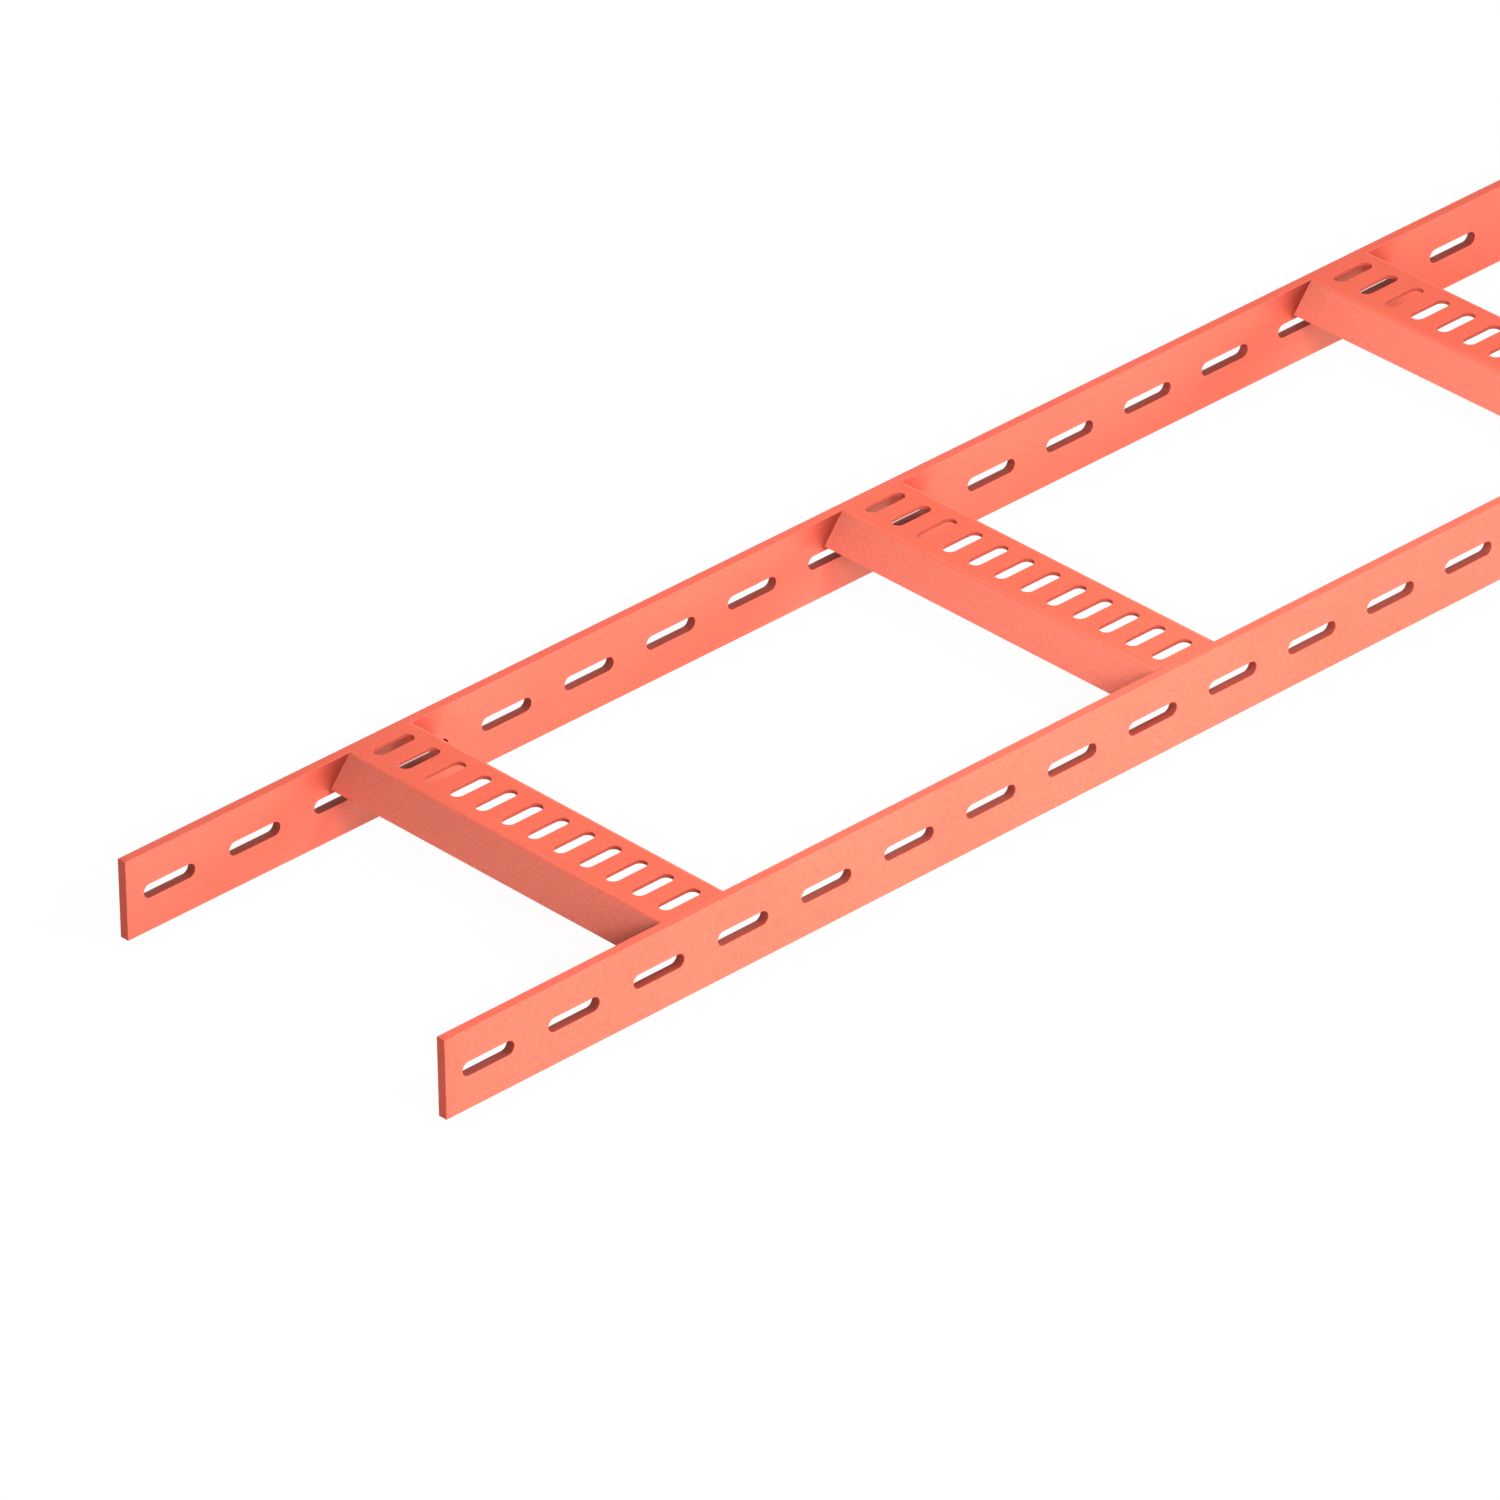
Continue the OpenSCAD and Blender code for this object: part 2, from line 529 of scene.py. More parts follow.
@dataclass(frozen=True)
class CornerShape:
    """Painted shade and shadow where rungs meet a rail's inner face, and painted shade under the rungs.

    Attributes:
        pitch: Distance between rungs.
        half_top: Half a rung's width at its top.
        half_foot: Half its width at its feet.
        top: Height of its top.
        foot: Height of its feet's outer edges.
        inner_face: Distance of the rails' inner faces from the ladder's middle.
        reach: Distance along a rung over which its mask fades out.
        wide_fade: The same along the rail, beside the rung's top.
        narrow_fade: The same beside its feet.
        blend: Depth over which the painted shade under a rung comes in, behind its flank and below its feet.
        spread: Distance from a rung's middle over which the painted shade under it fades out.
        plus_x_shade: Strength of the corner's painted shade on the rung's +X side.
        minus_x_shade: The same on its -X side, where it stands in for the shadow that the rung casts.
        slack: How far past the inner faces a point still counts as on them.
    """

    pitch: float
    half_top: float
    half_foot: float
    top: float
    foot: float
    inner_face: float
    reach: float = 13 * MM
    wide_fade: float = 30 * MM
    narrow_fade: float = 2.5 * MM
    blend: float = 4 * MM
    spread: float = 36 * MM
    plus_x_shade: float = 0.55
    minus_x_shade: float = 0.88
    slack: float = 0.05 * MM

    def group(self) -> bpy.types.NodeTree:
        """Masks of painted shade and shadow in the corners between rungs and rails, and of painted shade
        under rungs.

        A rung stands at every odd multiple of half the pitch. Let u be the distance along the rail from the
        nearest one and z the height. The rung's half width is
        w = half_top + (half_foot - half_top) * (top - z) / (top - foot), held between the two.
        A point's depth in the hollow is d = max(w - |u|, foot - z), and h = d / blend, held between 0 and 1.

        On the rails' inner faces the corner's painted shade is s * (1 - h) * e ^ -((|u| - w) / (s * f)) ^ 2,
        where f falls from wide_fade at the top to narrow_fade at the feet, and s goes from minus_x_shade to
        plus_x_shade as u grows. The painted shade under the rung is h * e ^ -(u / spread) ^ 2.
        On the rungs the painted shade is e ^ (-(inner_face - |y|) / reach).
        """
        group = NodeGroup(
            "corner_shade",
            {"Vector": "Vector"},
            {Corner.RAIL.value: "Float", UNDER_SHADE: "Float", Corner.RUNG.value: "Float"},
        )
        calc = group.calc

        def held(value: Socket) -> Socket:
            """The value, held between 0 and 1."""
            return calc("MINIMUM", calc("MAXIMUM", value, 0.0), 1.0)

        def bell(distance: Socket, width: Socket | float) -> Socket:
            """e ^ -(distance / width) ^ 2."""
            square = calc("POWER", calc("DIVIDE", distance, width), 2.0)
            return calc("EXPONENT", calc("MULTIPLY", square, -1.0))

        parts = group.add("SeparateXYZ", {0: group.source["Vector"]}).outputs
        offset = calc("SUBTRACT", calc("WRAP", parts["X"], self.pitch, 0.0), self.pitch / 2)
        along = calc("ABSOLUTE", offset)
        # minus_x_share grows towards the rung's -X side, where the painted shadow is stronger.
        minus_x_share = held(calc("MULTIPLY_ADD", offset, -0.5 / self.half_top, 0.5))
        side = calc("MULTIPLY_ADD", minus_x_share, self.minus_x_shade - self.plus_x_shade, self.plus_x_shade)
        under = calc("SUBTRACT", self.foot, parts["Z"])
        rise = held(calc("DIVIDE", under, self.foot - self.top))
        width = calc("MULTIPLY_ADD", rise, self.half_top - self.half_foot, self.half_foot)
        aside = calc("SUBTRACT", along, width)
        depth = calc("MAXIMUM", calc("MULTIPLY", aside, -1.0), under)
        hollow = held(calc("DIVIDE", depth, self.blend))
        fade = calc("MULTIPLY_ADD", rise, self.wide_fade - self.narrow_fade, self.narrow_fade)
        near = bell(calc("MAXIMUM", aside, 0.0), calc("MULTIPLY", fade, side))
        across = calc("ABSOLUTE", parts["Y"])
        inner = calc("LESS_THAN", across, self.inner_face + self.slack)
        corner = calc("MULTIPLY", near, calc("SUBTRACT", 1.0, hollow))
        group.output(Corner.RAIL.value, calc("MULTIPLY", corner, calc("MULTIPLY", inner, side)))
        group.output(UNDER_SHADE, calc("MULTIPLY", calc("MULTIPLY", hollow, bell(along, self.spread)), inner))
        gap = calc("SUBTRACT", across, self.inner_face)
        group.output(Corner.RUNG.value, calc("EXPONENT", calc("DIVIDE", gap, self.reach)))
        return group.tree


@dataclass(frozen=True)
class PrimerFinish:
    """Matt coral-red primer, sprayed thinly enough that the steel's own working shows faintly through it.

    Attributes:
        slot: The material slot that the record gives its pieces.
        base: Colour of the film, linear, as all the colours here are.
        corner: Which of the corner masks its pieces have.
        corner_shade_amount: How far the corners are mixed towards the painted corner shade.
        streak_stretch: How the working marks of the steel stretch along X, Y and Z.
        streak_depth: Depth of those marks under the film.
        streak_scale: Their scale.
        streak_strength: How much of their slope the film lets through.
        peel_depth: Depth of the orange peel and tooth.
        peel_strength: How much of its slope shows.
        roughness: Roughness of the film between its grains.
        grain_roughness: How much rougher it is on them.
        gloss: Level of the film's specular reflection.
        deep: Colour where the pigment is denser.
        thin: Colour of the painted shade on slot walls and sawn ends, and of the grains in dry spray.
        corner_shade_tone: Colour of the painted shade and shadow in the corners between rungs and rails.
        dry_and_sheen: Greyer colour of the feet, partly dry spray and partly a painted sheen of reflected
            light.
        dust_amount: How far the grains on the feet are mixed towards the thin colour.
        rubbed: Colour of the painted highlight along a bend, which is lighter.
        highlight_amount: How far a bend is mixed towards it.
        under_rung_tone: Colour of the painted shade in the hollows under the rungs, which is greyer.
    """

    slot: str
    base: Color
    corner: Corner
    corner_shade_amount: float
    streak_stretch: Triple
    streak_depth: float
    streak_scale: float = 60.0
    streak_strength: float = 0.5
    peel_depth: float = 0.05 * MM
    peel_strength: float = 0.6
    roughness: float = 0.55
    grain_roughness: float = 0.12
    gloss: float = 0.1
    deep: Color = (0.76, 0.112, 0.064)
    thin: Color = (0.235, 0.043, 0.030)
    corner_shade_tone: Color = (0.15, 0.014, 0.008)
    dry_and_sheen: Color = (0.86, 0.21, 0.145)
    dust_amount: float = 0.24
    rubbed: Color = (1.0, 0.235, 0.16)
    highlight_amount: float = 0.5
    under_rung_tone: Color = (0.54, 0.178, 0.125)

    def build(
        self, mottle: bpy.types.NodeTree, skin: bpy.types.NodeTree, corners: bpy.types.NodeTree
    ) -> bpy.types.Material:
        """Makes the material.

        Args:
            mottle: The shared pigment group.
            skin: The shared surface group.
            corners: The shared group of corner masks.

        Returns:
            The material.
        """
        material = bpy.data.materials.new(f"{self.slot}_film")
        material.use_nodes = True
        nodes = Nodes(material.node_tree)
        calc, mix = nodes.calc, nodes.mix
        place = nodes.add("TexCoord").outputs["Object"]
        inks = {"Vector": place, "Base": (*self.base, 1), "Deep": (*self.deep, 1)}
        pigment = nodes.add("Group", inks, node_tree=mottle).outputs
        film = nodes.add("Group", {"Vector": place}, node_tree=skin).outputs
        masks = {mask: nodes.add("Attribute", attribute_name=mask.value).outputs["Fac"] for mask in Mask}
        reach = nodes.add("Group", {"Vector": place}, node_tree=corners).outputs

        stretched = nodes.add("Mapping", {"Vector": place, "Scale": self.streak_stretch}).outputs["Vector"]
        streaks = nodes.noise(stretched, self.streak_scale, 3.0)
        worked = {"Height": streaks, "Distance": self.streak_depth, "Strength": self.streak_strength}
        steel = nodes.add("Bump", worked).outputs["Normal"]
        sprayed = {"Height": film["Height"], "Distance": self.peel_depth, "Strength": self.peel_strength}
        normal = nodes.add("Bump", {**sprayed, "Normal": steel}).outputs["Normal"]
        rough = nodes.span(pigment["Speck"], low=self.roughness, high=self.roughness + self.grain_roughness)

        # Painted shade in the corners where rungs meet rails; on a rung, only on its feet near the rails.
        corner = reach[self.corner.value]
        if self.corner is Corner.RUNG:
            corner = calc("MULTIPLY", corner, masks[Mask.DRY_AND_SHEEN], clamp=True)
        dust = calc("MULTIPLY", masks[Mask.DRY_AND_SHEEN], pigment["Speck"], clamp=True)
        # Greyer tone on the feet, partly dry spray and partly a painted sheen of reflected light.
        color = mix(masks[Mask.DRY_AND_SHEEN], pigment["Color"], self.dry_and_sheen)
        color = mix(calc("MULTIPLY", dust, self.dust_amount, clamp=True), color, self.thin)
        # Painted highlight along the bends.
        color = mix(calc("MULTIPLY", masks[Mask.RUBBED], self.highlight_amount, clamp=True), color, self.rubbed)
        # Painted shade on the slot walls and sawn ends.
        color = mix(masks[Mask.THIN], color, self.thin)
        # Painted shade in the hollows under the rungs.
        if self.corner is Corner.RAIL:
            color = mix(reach[UNDER_SHADE], color, self.under_rung_tone)
        # Painted shade and shadow in the corners between rungs and rails.
        color = mix(calc("MULTIPLY", corner, self.corner_shade_amount, clamp=True), color, self.corner_shade_tone)

        shader = nodes.tree.nodes["Principled BSDF"].inputs
        nodes.tree.links.new(color, shader["Base Color"])
        nodes.tree.links.new(rough, shader["Roughness"])
        nodes.tree.links.new(normal, shader["Normal"])
        shader["Specular IOR Level"].default_value = self.gloss
        return material


# ---- The ladder's pieces -------------------------------------------------------------------------


@dataclass(frozen=True)
class SideRail:
    """A flat bar with rolled edges and a row of slots at mid-height.

    Attributes:
        side: Which rail it is.
        node: Name of the solid that it is built over.
        slot: Shape of its slots, punched from the outer face.
        pitch: Distance between slots.
        edge_radius: Rounding of the long edges.
        end_radius: Easing of the sawn ends' edges.
        support: Width of the flat strip next to each rounding.
        end_shade: How dark the painted shade on the sawn ends is, from 0 to 1.
        end_flat: Share of the edge radius that is left where an end's flat face begins.
        edge_steps: Steps over each rounding.
    """

    side: Side
    node: str
    slot: SlotShape
    pitch: float
    edge_radius: float = 0.3 * MM
    end_radius: float = 0.2 * MM
    support: float = 0.15 * MM
    end_shade: float = 0.5
    end_flat: float = 0.05
    edge_steps: int = 3

    def half_section(self, half_height: float, thickness: float, heights: np.ndarray) -> np.ndarray:
        """The outer half of the bar's section, from the middle of its lower edge to that of its upper edge.

        A quarter circle of the edge radius rounds each corner.

        Args:
            half_height: Half the bar's height.
            thickness: The bar's thickness.
            heights: Where the slotted face's border has points, from low to high.

        Returns:
            Points as an array of (points, 2): depth below the outer face, and height above the bar's middle.
        """
        radius = self.edge_radius
        turn = quarter_turn(self.edge_steps)
        corner = np.stack([radius * (1 - np.cos(turn)), half_height - radius * (1 - np.sin(turn))], axis=-1)
        shoulder = np.array([[min(radius + self.support, thickness / 2), half_height]])
        upper = np.concatenate([corner, shoulder])
        face = np.stack([np.zeros(len(heights)), heights], axis=-1)
        lower = upper[::-1] * (1, -1)
        return np.concatenate([lower, face, upper])

    def build(self) -> bpy.types.Object:
        """Builds the bar over its solid.

        Returns:
            The bar's object.
        """
        low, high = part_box(self.node)
        length, thickness, height = high - low
        middle = (low.z + high.z) / 2
        half_height = height / 2
        outer = low.y if self.side is Side.RIGHT else high.y
        inward = -self.side.value
        cell = SlottedCell(
            self.pitch / 2, half_height - self.edge_radius - self.support, thickness, self.slot, self.support
        )
        count = round(length / self.pitch)
        centres = low.x + (np.arange(count) + 0.5) * self.pitch
        first, last = low.x + self.end_radius, high.x - self.end_radius

        def placed(x: np.ndarray | float, depth: np.ndarray, rise: np.ndarray) -> np.ndarray:
            """Points at x, at a depth below the outer face and a height over the bar's middle."""
            return np.stack(np.broadcast_arrays(x, outer + inward * depth, middle + rise), axis=-1)

        surface = SurfaceBuilder(f"{self.node}_bar")
        rings = cell.rings()
        x = tiled(rings[..., 0], centres, cell.half_u, first, last)
        # Painted shade on the slot walls, standing in for shade inside the slots.
        walls = {Mask.THIN: cell.ring_shade()}
        surface.add_grid(placed(x, rings[..., 2], rings[..., 1]), closed=True, masks=walls)

        xs = merged(tiled(cell.border_u(), centres, cell.half_u, first, last))
        half = self.half_section(half_height, thickness, cell.border_v())
        loop = np.concatenate([half, (half * (-1, 1) + (thickness, 0))[::-1]])
        edge = loop[:, 1] > cell.half_v - TINY
        over = loop[edge]
        for rise in (1, -1):
            grid = sweep(over * (1, rise), xs, 0)
            surface.add_grid(placed(grid[..., 0], grid[..., 1], grid[..., 2]))

        core_low = np.array([self.edge_radius, self.edge_radius - half_height])
        core_high = np.array([thickness - self.edge_radius, half_height - self.edge_radius])
        core = np.clip(loop, core_low, core_high)
        for end, out in ((first, -1), (last, 1)):
            turn = np.append(quarter_turn(self.edge_steps), math.pi / 2)
            shrink = 1 - self.end_radius * (1 - np.cos(turn)) / self.edge_radius
            shrink[-1] = self.end_flat
            rim = core + (loop - core) * shrink[:, None, None]
            reach = end + out * self.end_radius * np.sin(turn)[:, None]
            # Painted shade on the sawn end, growing towards its face.
            thin = self.end_shade * np.sin(turn)
            surface.add_grid(placed(reach, rim[..., 0], rim[..., 1]), closed=True, masks={Mask.THIN: thin})
            cap = np.stack([rim[-1, : len(half)], rim[-1, len(half):][::-1]])
            surface.add_grid(placed(reach[-1, 0], cap[..., 0], cap[..., 1]), masks={Mask.THIN: thin[-2:]})
        return surface.build()


@dataclass(frozen=True)
class Rung:
    """A rung folded from sheet: a level, slotted top and a sloping foot on each side, open below.

    Attributes:
        node: Name of the solid that it is built over.
        slot: Shape of its slots, punched from the top.
        pitch: Distance between slots.
        sheet: Thickness of the sheet.
        top_width: Width of the top between the sharp corners that the bends round off.
        foot_height: Height of the outer faces.
        bend_radius: Inner radius of the bends.
        tip_radius: Easing of the feet's sheared edges.
        support: Width of the flat strip next to each rounding.
        bend_steps: Steps round a bend.
        tip_steps: Steps over a foot's sheared edge.
        crest: Which point of the profile is the crest of its bend.
        crest_spread: How many points the painted highlight reaches to each side.
        dry_sheen_start: The point past which the foot's greyer tone, partly dry spray and partly painted
            sheen, comes in.
        dry_sheen_span: Over how many points it does so.
    """

    node: str
    slot: SlotShape
    pitch: float
    sheet: float
    top_width: float
    foot_height: float
    bend_radius: float
    tip_radius: float = 0.2 * MM
    support: float = 0.3 * MM
    bend_steps: int = 6
    tip_steps: int = 2
    crest: int = 3
    crest_spread: float = 1.6
    dry_sheen_start: int = 4
    dry_sheen_span: int = 4

    def foot_profile(self, half_foot: float) -> tuple[np.ndarray, float]:
        """The outer and inner line of the bend and foot on the +x side, joined over the foot's tip.

        The bend is a pair of arcs about one centre, of the inner radius and of that plus the sheet. The
        foot's lines run on from them, square to the last radius.

        Args:
            half_foot: Half the rung's width over its feet.

        Returns:
            Points as an array of (points, 2), in x and height above the top face, from the top round to the
            underside, and the half width of the level top.
        """
        run = half_foot - self.top_width / 2
        fold = math.atan2(self.foot_height, run)
        outer = self.bend_radius + self.sheet
        setback = outer * math.tan(fold / 2)
        flat = self.top_width / 2 - setback
        length = math.hypot(run, self.foot_height) - setback

        turn = np.linspace(0, fold, self.bend_steps + 1)[:, None]
        spoke = np.concatenate([np.sin(turn), np.cos(turn)], axis=1)
        centre = np.array([flat, -outer])
        along = np.array([math.cos(fold), -math.sin(fold)])
        square = np.array([math.sin(fold), math.cos(fold)])

        radius = self.tip_radius
        tip_turn = quarter_turn(self.tip_steps)
        tip = np.concatenate([[length - radius - self.support], length - radius * (1 - np.sin(tip_turn))])
        drop = np.concatenate([[0.0], radius * (1 - np.cos(tip_turn))])
        foot_start = np.array([self.support])

        def line(level: np.ndarray | float, reach: np.ndarray) -> np.ndarray:
            """Points along the foot, at a distance from the bend's centre line."""
            height = np.broadcast_to(level, reach.shape)
            return centre + reach[:, None] * along + height[:, None] * square

        outer_line = np.concatenate([
            [[flat - self.support, 0.0]],
            centre + outer * spoke,
            line(outer, foot_start),
            line(outer - drop, tip),
        ])
        inner_line = np.concatenate([
            [[flat - self.support, -self.sheet]],
            centre + self.bend_radius * spoke,
            line(self.bend_radius, foot_start),
            line(self.bend_radius + drop, tip),
        ])
        return np.stack([outer_line, inner_line]), flat

    def dry_sheen_and_highlight(self, outer: int, total: int) -> Masks:
        """Greyer tone on a foot, partly dry spray and partly painted sheen, and a painted highlight on its
        bend.

        At point n of the profile the highlight is e ^ -((n - crest) / spread) ^ 2, and the greyer tone is
        (n - start) / span, held between 0 and 1. Both are only on the outside.

        Args:
            outer: How many points of the profile lie outside, starting with the bend.
            total: How many points it has.

        Returns:
            Each mask's value at each point.
        """
        place = np.arange(total)
        crest = np.exp(-(((place - self.crest) / self.crest_spread) ** 2))
        dry_and_sheen = np.clip((place - self.dry_sheen_start) / self.dry_sheen_span, 0, 1)
        return {Mask.DRY_AND_SHEEN: dry_and_sheen * (place < outer), Mask.RUBBED: crest * (place < outer)}

    def build(self) -> bpy.types.Object:
        """Builds the rung over its solid.

        Returns:
            The rung's object.
        """
        low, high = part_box(self.node)
        middle = (low.x + high.x) / 2
        top = high.z
        lines, flat = self.foot_profile((high.x - low.x) / 2)
        cell = SlottedCell(flat - self.support, self.pitch / 2, self.sheet, self.slot)
        count = round((high.y - low.y) / self.pitch)
        centres = (np.arange(count) - (count - 1) / 2) * self.pitch + (low.y + high.y) / 2

        surface = SurfaceBuilder(f"{self.node}_channel")
        rings = cell.rings()
        y = tiled(rings[..., 1], centres, cell.half_v, low.y, high.y)
        web = np.stack(np.broadcast_arrays(middle + rings[..., 0], y, top - rings[..., 2]), axis=-1)
        # Painted shade on the slot walls, standing in for shade inside the slots.
        surface.add_grid(web, closed=True, masks={Mask.THIN: cell.ring_shade()})

        def cap_ends(above: np.ndarray, below: np.ndarray) -> None:
            """Closes both ends of the rung between two lines of its profile."""
            edges = np.concatenate([above, below]) + (middle, top)
            for y_end in (low.y, high.y):
                surface.add_grid(sweep(edges, np.array([y_end]), 1).reshape(2, -1, 3))

        ys = merged(tiled(cell.border_v(), centres, cell.half_v, low.y, high.y))
        border = cell.border_u()
        for hand in (1, -1):
            outer, inner = lines[0] * (hand, 1), lines[1] * (hand, 1)
            over = np.concatenate([outer, inner[::-1]]) + (middle, top)
            # Greyer tone on the feet, partly dry spray and partly painted sheen, and a painted highlight on
            # the bends.
            surface.add_grid(sweep(over, ys, 1), masks=self.dry_sheen_and_highlight(len(outer), len(over)))
            cap_ends(outer, inner)
        face = np.stack([border, np.zeros(len(border))], axis=-1)
        cap_ends(face, face - (0, self.sheet))
        return surface.build()


@dataclass(frozen=True)
class WeldSeam:
    """A short fillet weld inside a rung's channel, in the corner with a rail.

    Attributes:
        start: Where the corner line starts.
        finish: Where it ends.
        wall: Direction away from the corner along the rail's face.
        sheet: Direction away from the corner along the rung's underside.
        leg: Leg length of the fillet.
        ripple: Distance between the ripples.
        ripple_steps: Steps along each ripple.
        least_steps: The fewest steps along a seam.
        round_steps: Steps across the face.
        swell: How much a ripple's crest adds to the leg, as a share.
        lag: How far a ripple bows along the seam, as a share of their distance.
        bulge: How far the face bulges past the straight line, as a share.
        root: How deep the bead runs into the corner.
    """

    start: Vector
    finish: Vector
    wall: Vector
    sheet: Vector
    leg: float
    ripple: float = 1.1 * MM
    ripple_steps: int = 6
    least_steps: int = 12
    round_steps: int = 8
    swell: float = 0.07
    lag: float = 0.35
    bulge: float = 0.22
    root: float = 0.15 * MM

    def grid(self) -> np.ndarray:
        """The bead's surface, a tube round the corner line that closes to a point at each end.

        Along the seam the leg is the full one times the fourth root of 1 - (2t - 1)^8, which rounds the ends
        off, and it swells by a few hundredths with each ripple. Across it the face is an arc between the two
        legs, bulged a little past the straight line.

        Returns:
            Points as an array of (steps along, steps round, 3).
        """
        length = (self.finish - self.start).length
        steps = max(self.least_steps, round(length / self.ripple) * self.ripple_steps)
        t = np.linspace(0, 1, steps + 1)[:, None]
        across = np.linspace(0, 1, self.round_steps + 1)[None, :]
        bow = np.sin(math.pi * across)
        taper = np.power(np.clip(1 - (2 * t - 1) ** 8, 0, 1), 0.25)
        crest = 0.5 + 0.5 * np.cos(2 * math.pi * (t * length / self.ripple - self.lag * bow))
        leg = self.leg * taper * (1 + self.swell * crest)
        bulge = 1 + self.bulge * bow
        a, b = leg * across * bulge, leg * (1 - across) * bulge
        root = -self.root * taper
        a = np.concatenate([a, root], axis=1)
        b = np.concatenate([b, root], axis=1)
        spine = np.array(self.start) + t[..., None] * np.array(self.finish - self.start)
        return spine + a[..., None] * np.array(self.wall) + b[..., None] * np.array(self.sheet)


@dataclass(frozen=True)
class RungWelds:
    """The fillet welds that hold one rung, laid inside its channel where they don't show from above.

    Attributes:
        rung: The rung.
        top_gap: How far the seam under the top stays short of each bend.
        bend_gap: How far a foot's seam stays short of the bend.
        tip_gap: How far it stays short of the foot's edge.
        top_leg: Leg length of the seam under the top.
        foot_leg: Leg length of the feet's seams.
        crease: Edges that fold more than this are shaded sharp.
    """

    rung: Rung
    top_gap: float = 4 * MM
    bend_gap: float = 3.5 * MM
    tip_gap: float = 1.5 * MM
    top_leg: float = 2.4 * MM
    foot_leg: float = 2.0 * MM
    crease: float = math.radians(60)

    def build(self) -> bpy.types.Object:
        """Builds all the rung's seams as one piece.

        Returns:
            The seams' object.
        """
        low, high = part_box(self.rung.node)
        middle, top = (low.x + high.x) / 2, high.z
        lines, flat = self.rung.foot_profile((high.x - low.x) / 2)
        inner = lines[1]
        under = top - self.rung.sheet
        reach = flat - self.top_gap
        foot_start = -(self.rung.tip_steps + 3)
        seams = [((middle - reach, under), (middle + reach, under), (0, -1), self.top_leg)]
        for hand in (1, -1):
            bend_end, tip = inner[[foot_start, -1]] * (hand, 1) + (middle, top)
            slope = (tip - bend_end) / np.hypot(*(tip - bend_end))
            start, finish = bend_end + slope * self.bend_gap, tip - slope * self.tip_gap
            seams.append((start, finish, (-hand * abs(slope[1]), -abs(slope[0])), self.foot_leg))

        surface = SurfaceBuilder(f"{self.rung.node}_welds")
        for y_end, into in ((low.y, 1), (high.y, -1)):
            for start, finish, wall, leg in seams:
                ends = [Vector((x, y_end, z)) for x, z in (start, finish)]
                seam = WeldSeam(*ends, Vector((wall[0], 0, wall[1])), Vector((0, into, 0)), leg)
                surface.add_grid(seam.grid(), closed=True)
        return surface.build(sharp_angle=self.crease)


class Ladder:
    """The whole section: two rails, its rungs and their welds."""

    # The last value of each slot is the painted shade on its walls.
    RAIL_SLOT = SlotShape(30 * MM, 7 * MM, 0.3 * MM, 0.12 * MM, 0.9)
    RUNG_SLOT = SlotShape(22.5 * MM, 7 * MM, 0.25 * MM, 0.1 * MM, 0.65)
    RAIL_PITCH = 50 * MM
    RUNG_PITCH = 16.65 * MM

    def __init__(self, frame: dict) -> None:
        """Finds the ladder's nodes.
        """
        self.rails = [
            SideRail(side, f"side_rail_{side.name.lower()}", self.RAIL_SLOT, self.RAIL_PITCH) for side in Side
        ]
        rungs = sorted(name for name in frame["nodes"] if name.startswith("rung_"))
        self.rungs = [
            Rung(
                name,
                self.RUNG_SLOT,
                self.RUNG_PITCH,
                sheet=2 * MM,
                top_width=36.6 * MM,
                foot_height=14.2 * MM,
                bend_radius=0.8 * MM,
            )
            for name in rungs
        ]

    def build(self) -> None:
        """Builds, dresses and attaches every piece."""
        mottle, skin = mottle_group(), spray_skin_group()
        rail_primer = PrimerFinish(
            "rail_primer",
            (0.9, 0.16, 0.108),
            Corner.RAIL,
            corner_shade_amount=1.0,
            streak_stretch=(1, 12, 12),
            streak_depth=0.03 * MM,
        )
        rung_primer = PrimerFinish(
            "rung_primer",
            (0.94, 0.157, 0.091),
            Corner.RUNG,
            corner_shade_amount=0.15,
            streak_stretch=(12, 1, 12),
            streak_depth=0.02 * MM,
        )
        # Painted shade and shadow in the corners between rungs and rails, and under the rungs.
        corners = CornerShape(
            pitch=300 * MM,
            half_top=18 * MM,
            half_foot=30 * MM,
            top=40 * MM,
            foot=25.8 * MM,
            inner_face=100 * MM,
        ).group()
        rail_film = rail_primer.build(mottle, skin, corners)
        rung_film = rung_primer.build(mottle, skin, corners)
        for rail in self.rails:
            self.attach(rail.build(), rail_film, rail_primer.slot, rail.node)
        for rung in self.rungs:
            self.attach(rung.build(), rung_film, rung_primer.slot, rung.node)
            self.attach(RungWelds(rung).build(), rung_film, rung_primer.slot)

    @staticmethod
    def attach(
        piece: bpy.types.Object, film: bpy.types.Material, slot: str, node: str | None = None
    ) -> None:
        """Gives a piece its finish and its place in the frame.

        Args:
            piece: The piece.
            film: Its material.
            slot: Its material slot in the record.
            node: The solid that it stands for, if any.
        """
        piece.data.materials.append(film)
        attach(piece, ROOT)
        if node:
            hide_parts(node)
        LOG.info("%s: %d faces, %s", piece.name, len(piece.data.polygons), slot)


# ---- The studio ----------------------------------------------------------------------------------


@dataclass(frozen=True)
class Softbox:
    """A rectangular studio lamp.

    Attributes:
        name: Its name.
        place: Where it stands.
        aim: What it points at.
        size: Its width and height.
        power: Its power in watts.
    """

    name: str
    place: Triple
    aim: Triple
    size: tuple[float, float]
    power: float

    def build(self) -> None:
        """Makes the lamp."""
        data = bpy.data.lights.new(self.name, "AREA")
        data.shape = "RECTANGLE"
        data.size, data.size_y = self.size
        data.energy = self.power
        lamp = bpy.data.objects.new(self.name, data)
        lamp.location = self.place
        lamp.rotation_euler = (Vector(self.aim) - Vector(self.place)).to_track_quat("-Z", "Y").to_euler()
        bpy.context.scene.collection.objects.link(lamp)


